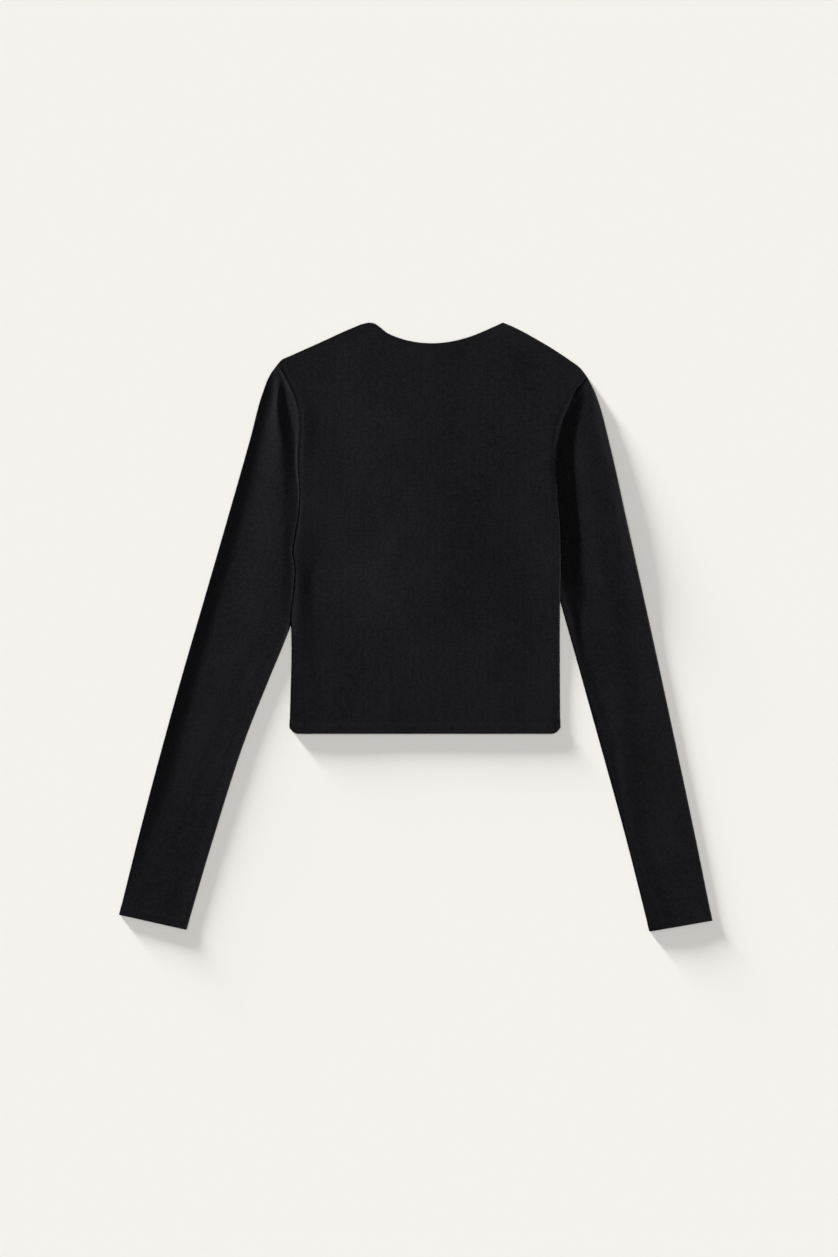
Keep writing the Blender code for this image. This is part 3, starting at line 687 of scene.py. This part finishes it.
def sleeve_points(side, upper_count, lower_count):
    """Closed rows round a sleeve: upper layer, inner fold, lower layer, outer fold."""
    outer_line, inner_line = smooth_line(OUTER_FOLDS[side]), smooth_line(INNER_FOLDS[side])
    places, cap_share = section_places(outer_line, inner_line)
    outer_end = places[-1, 0]
    turn = np.pi / 2 * (1 - np.arange(1, 2 * TURN_STEPS) / TURN_STEPS)
    rows, thick = [], []
    for index, (outer_at, inner_at) in enumerate(places):
        bow = 1.0 - ease(cap_share[index]) if index < len(cap_share) else 0.0
        outer_point, inner_point = place(outer_line, outer_at), place(inner_line, inner_at)
        outer_in = into_sleeve(outer_line, outer_at, side, "outer")
        inner_in = into_sleeve(inner_line, inner_at, side, "inner")
        across = np.linalg.norm(outer_point - inner_point)
        from_cuff = outer_end - outer_at
        first = EDGE_INSET / across

        def layer(count):
            share = first + (1 - 2 * first) * graded(count, COLUMN_EVENNESS)
            points = section_points(side, outer_point, inner_point, share, bow)
            points[0] = outer_point + outer_in * EDGE_INSET
            points[-1] = inner_point + inner_in * EDGE_INSET
            return points

        upper = layer(upper_count)
        heights = upper_heights(side, upper, from_cuff)
        lower = layer(lower_count)[::-1]

        def fold(tip, inward, half, direction):
            plan = tip + inward * (CLOTH / 2 + ROLL * (1 - np.cos(turn)))[:, None]
            return np.column_stack([plan, CLOTH / 2 + half + direction * half * np.sin(turn)])

        row = np.concatenate([
            np.column_stack([upper, heights]),
            fold(inner_point, inner_in, (heights[-1] - CLOTH / 2) / 2, 1),
            np.column_stack([lower, np.full(lower_count, CLOTH / 2)]),
            fold(outer_point, outer_in, (heights[0] - CLOTH / 2) / 2, -1)])
        turned = ease((CUFF_TURN + CUFF_MARGIN - from_cuff) / TURN_BLEND)
        row[:, 2] += turned * (TURNED - CLOTH) / 2
        rows.append(row)
        thick.append(np.full(len(row), turned))
    return np.array(rows), np.array(thick)


# %% [markdown]
# ## Cutting the four pieces
#
# The table's frame has its origin in the middle of the footprint, which the CAD box gives, so
# the pieces are moved from the hem's middle to there.

# %% Make the pieces
cuff_corners = [line[-1] for lines in (OUTER_FOLDS, INNER_FOLDS) for line in lines.values()]
sleeve_box = [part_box("sleeve_left"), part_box("sleeve_right")]
MIDDLE_X = cuff_corners[0][0] - sleeve_box[0][0][0] / MM
MIDDLE_Y = 0.0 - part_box("back")[0][1] / MM
print("middle of the footprint from the hem", round(MIDDLE_X, 2), round(MIDDLE_Y, 2))

PANELS = (
    # piece, neckline, which way its folds turn, points across and up
    ("back", smooth_line(BACK_NECK), -1, (200, 120)),
    ("front", front_neckline(), 1, (110, 70)),
)
SLEEVE_COUNTS = (62, 26)       # points across the upper and the lower layer
ALLOWANCE_COUNT = 70           # points along the seam allowance

garment = {}
for name, neck, turn, counts in PANELS:
    points, thick = panel_points(name, neck, turn, *counts)
    garment[name] = cloth_piece(name + "_knit", [(points, False, thick)])
for side in ("left", "right"):
    points, thick = sleeve_points(side, *SLEEVE_COUNTS)
    strip = allowance_points(side, ALLOWANCE_COUNT)
    name = "sleeve_" + side
    garment[name] = cloth_piece(name + "_knit", [(points, True, thick),
                                                 (strip, False, np.zeros(strip.shape[:2]))])

# %% [markdown]
# ## The knit
#
# A double knit shows fine upright wales, a slight unevenness of the yarn, and a little lint.
# All pieces share these effects, so they are one node group. It gives a colour, a roughness and
# a height, all of which vary over the cloth. Each material turns the pattern to its own grain.

# %% Node group for double knit
def double_knit_group():
    group = bpy.data.node_groups.new("double_knit", "ShaderNodeTree")
    sockets = group.interface
    sockets.new_socket("Place", in_out="INPUT", socket_type="NodeSocketVector")
    for name, value in (("Wale Pitch", 1.25), ("Unevenness", 1.3), ("Lint", 1.0)):
        socket = sockets.new_socket(name, in_out="INPUT", socket_type="NodeSocketFloat")
        socket.default_value = value
    sockets.new_socket("Yarn Colour", in_out="INPUT", socket_type="NodeSocketColor")
    sockets.new_socket("Lint Colour", in_out="INPUT", socket_type="NodeSocketColor")
    sockets.new_socket("Colour", in_out="OUTPUT", socket_type="NodeSocketColor")
    sockets.new_socket("Roughness", in_out="OUTPUT", socket_type="NodeSocketFloat")
    sockets.new_socket("Height", in_out="OUTPUT", socket_type="NodeSocketFloat")
    nodes, links = group.nodes, group.links
    given = nodes.new("NodeGroupInput")
    result = nodes.new("NodeGroupOutput")

    def math_node(operation, first, second):
        node = nodes.new("ShaderNodeMath")
        node.operation = operation
        for slot, value in enumerate((first, second)):
            if isinstance(value, (int, float)):
                node.inputs[slot].default_value = value
            else:
                links.new(value, node.inputs[slot])
        return node.outputs[0]

    def noise(stretch, scale, detail):
        """Noise over the cloth; stretch makes it longer along the wales."""
        mapping = nodes.new("ShaderNodeMapping")
        mapping.inputs["Scale"].default_value = (1.0, 1.0 / stretch, 1.0)
        links.new(given.outputs["Place"], mapping.inputs["Vector"])
        node = nodes.new("ShaderNodeTexNoise")
        node.inputs["Scale"].default_value = scale
        node.inputs["Detail"].default_value = detail
        links.new(mapping.outputs[0], node.inputs["Vector"])
        return node.outputs["Fac"]

    def centred(pattern, weight):
        """A pattern that swings about nothing, by its weight."""
        return math_node("MULTIPLY", math_node("SUBTRACT", pattern, 0.5), weight)

    apart = nodes.new("ShaderNodeSeparateXYZ")
    links.new(given.outputs["Place"], apart.inputs[0])
    turns = math_node("DIVIDE", apart.outputs["X"], given.outputs["Wale Pitch"])
    courses = math_node("DIVIDE", apart.outputs["Y"], given.outputs["Wale Pitch"])
    wale = math_node("SINE", math_node("MULTIPLY", turns, 2 * math.pi), 0.0)
    course = math_node("SINE", math_node("MULTIPLY", courses, 2 * math.pi * 1.35), 0.0)
    stitch = math_node("ADD", math_node("MULTIPLY", wale, 0.7), math_node("MULTIPLY", course, 0.3))
    mottle = noise(stretch=0.85, scale=0.40, detail=3.0)
    streaks = centred(noise(stretch=7.0, scale=0.50, detail=2.0), 0.55)
    bars = centred(noise(stretch=0.12, scale=0.42, detail=2.0), 0.7)
    broad = centred(noise(stretch=1.6, scale=0.02, detail=2.0), 0.6)
    uneven = math_node("ADD", streaks, centred(mottle, 1.5))
    uneven = math_node("ADD", uneven, bars)
    uneven = math_node("ADD", uneven, broad)
    tone = math_node("ADD", 1.0, math_node("MULTIPLY", uneven, given.outputs["Unevenness"]))
    tone = math_node("ADD", tone, math_node("MULTIPLY", stitch, 0.03))
    specks = nodes.new("ShaderNodeTexVoronoi")
    specks.inputs["Scale"].default_value = 0.055
    links.new(given.outputs["Place"], specks.inputs["Vector"])
    near = nodes.new("ShaderNodeMapRange")
    near.inputs["From Min"].default_value = 0.045
    near.inputs["From Max"].default_value = 0.02
    links.new(specks.outputs["Distance"], near.inputs["Value"])
    chosen = nodes.new("ShaderNodeSeparateColor")
    links.new(specks.outputs["Color"], chosen.inputs[0])
    rare = math_node("GREATER_THAN", chosen.outputs[0], 0.86)
    lint = math_node("MULTIPLY", math_node("MULTIPLY", near.outputs[0], rare), given.outputs["Lint"])
    tinted = nodes.new("ShaderNodeMix")
    tinted.data_type = "RGBA"
    tinted.blend_type = "MULTIPLY"
    tinted.inputs["Factor"].default_value = 1.0
    links.new(given.outputs["Yarn Colour"], tinted.inputs["A"])
    grey = nodes.new("ShaderNodeCombineXYZ")
    for slot in range(3):
        links.new(tone, grey.inputs[slot])
    links.new(grey.outputs[0], tinted.inputs["B"])
    dusted = nodes.new("ShaderNodeMix")
    dusted.data_type = "RGBA"
    links.new(lint, dusted.inputs["Factor"])
    links.new(tinted.outputs["Result"], dusted.inputs["A"])
    links.new(given.outputs["Lint Colour"], dusted.inputs["B"])
    links.new(dusted.outputs["Result"], result.inputs["Colour"])
    rough = math_node("ADD", 0.86, math_node("MULTIPLY", uneven, 0.08))
    links.new(rough, result.inputs["Roughness"])
    fuzz = centred(mottle, 1.2)
    links.new(math_node("ADD", stitch, math_node("ADD", fuzz, lint)), result.inputs["Height"])
    return group


# %% Materials
DOUBLE_KNIT = double_knit_group()
BLACK_YARN = (0.0072, 0.0071, 0.0084, 1.0)
LINT = (0.017, 0.017, 0.019, 1.0)
GRAIN = {"back": 0.0, "front": 0.0, "sleeve_left": 15.8, "sleeve_right": -12.8}


def knit_material(piece):
    """Black double knit whose wales run along the piece."""
    material = bpy.data.materials.new(piece + " black double knit")
    material.use_nodes = True
    nodes, links = material.node_tree.nodes, material.node_tree.links
    shader = nodes["Principled BSDF"]
    shader.inputs["Metallic"].default_value = 0.0
    shader.inputs["Specular IOR Level"].default_value = 0.08
    shader.inputs["Sheen Weight"].default_value = 0.03
    shader.inputs["Sheen Roughness"].default_value = 0.45
    shader.inputs["Sheen Tint"].default_value = (0.9, 0.92, 1.0, 1.0)
    place_on_cloth = nodes.new("ShaderNodeTexCoord")
    turn_grain = nodes.new("ShaderNodeMapping")
    turn_grain.inputs["Rotation"].default_value = (0.0, 0.0, math.radians(GRAIN[piece]))
    turn_grain.inputs["Scale"].default_value = (1 / MM, 1 / MM, 1 / MM)
    links.new(place_on_cloth.outputs["Object"], turn_grain.inputs["Vector"])
    knit = nodes.new("ShaderNodeGroup")
    knit.node_tree = DOUBLE_KNIT
    knit.inputs["Yarn Colour"].default_value = BLACK_YARN
    knit.inputs["Lint Colour"].default_value = LINT
    links.new(turn_grain.outputs[0], knit.inputs["Place"])
    bump = nodes.new("ShaderNodeBump")
    bump.inputs["Strength"].default_value = 0.5
    bump.inputs["Distance"].default_value = 0.06 * MM
    links.new(knit.outputs["Height"], bump.inputs["Height"])
    links.new(knit.outputs["Colour"], shader.inputs["Base Color"])
    links.new(knit.outputs["Roughness"], shader.inputs["Roughness"])
    links.new(bump.outputs["Normal"], shader.inputs["Normal"])
    return material


for node, piece in garment.items():
    piece.data.materials.append(knit_material(node))
print("materials", [piece.data.materials[0].name for piece in garment.values()])

# %% [markdown]
# ## Telling the frame what each piece is
#
# Each cloth piece stands for its CAD solid, which is hidden, and rides on the one body.

# %% Frame declarations
for node, piece in garment.items():
    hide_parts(node)
    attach(piece, "root")
print("declared", list(garment))

# %% [markdown]
# ## Table, light and camera
#
# The top lies on a pale, plain surface and is seen from straight above. A low, soft key from
# the right shows the folds of black cloth, which a light from above would flatten. The table
# has its own soft lights, so that its shade falls lightly to the lower right.

# %% Table
TABLE_COLOUR = (0.86, 0.838, 0.80, 1.0)
bpy.ops.mesh.primitive_plane_add(size=12.0)
table = bpy.context.object
table.name = "table"
table_material = bpy.data.materials.new("pale table")
table_material.use_nodes = True
table_shader = table_material.node_tree.nodes["Principled BSDF"]
table_shader.inputs["Base Color"].default_value = TABLE_COLOUR
table_shader.inputs["Roughness"].default_value = 1.0
table_shader.inputs["Specular IOR Level"].default_value = 0.0
table.data.materials.append(table_material)

# %% Lights
scene = bpy.context.scene
cloth_only = bpy.data.collections.new("lit cloth")
table_only = bpy.data.collections.new("lit table")
for piece in garment.values():
    cloth_only.objects.link(piece)
table_only.objects.link(table)


def soft_sun(name, azimuth, elevation, strength, spread, lit):
    """A sun that comes from the azimuth (0 is +X, 90 is +Y), on one collection only."""
    lamp = bpy.data.lights.new(name, "SUN")
    lamp.energy = strength
    lamp.angle = math.radians(spread)
    sun = bpy.data.objects.new(name, lamp)
    sun.rotation_euler = (0.0, math.radians(90 - elevation), math.radians(azimuth))
    scene.collection.objects.link(sun)
    sun.light_linking.receiver_collection = lit


AMBIENT = 0.14
soft_sun("key on cloth", azimuth=12.0, elevation=11.5, strength=9.0, spread=7.0, lit=cloth_only)
soft_sun("overhead on table", azimuth=0.0, elevation=90.0, strength=1.62, spread=40.0,
         lit=table_only)
soft_sun("low shade light on table", azimuth=128.0, elevation=4.8, strength=15.2, spread=8.0,
         lit=table_only)
fill = bpy.data.lights.new("soft box on cloth", "AREA")
fill.energy = 0.55
fill.size = 0.3
fill.spread = math.radians(70)
soft_box = bpy.data.objects.new("soft box on cloth", fill)
soft_box.location = (-0.45, 0.45, 1.1)
SOFT_BOX_AIM = Vector((-0.06, 0.14, 0.0))
towards = SOFT_BOX_AIM - soft_box.location
soft_box.rotation_euler = towards.to_track_quat("-Z", "Y").to_euler()
scene.collection.objects.link(soft_box)
soft_box.light_linking.receiver_collection = cloth_only
world = bpy.data.worlds.new("studio")
scene.world = world
world.use_nodes = True
world.node_tree.nodes["Background"].inputs["Color"].default_value = (1.0, 1.0, 1.0, 1.0)
world.node_tree.nodes["Background"].inputs["Strength"].default_value = AMBIENT
scene.view_settings.view_transform = "Standard"

# %% Camera
VIEW_HEIGHT = 1.3576
CAMERA_UP = 5.0
lens = bpy.data.cameras.new("from above")
lens.lens = lens.sensor_width * CAMERA_UP / VIEW_HEIGHT
camera = bpy.data.objects.new("from above", lens)
camera.location = (0.0035, -0.00135, CAMERA_UP)
scene.collection.objects.link(camera)
scene.camera = camera
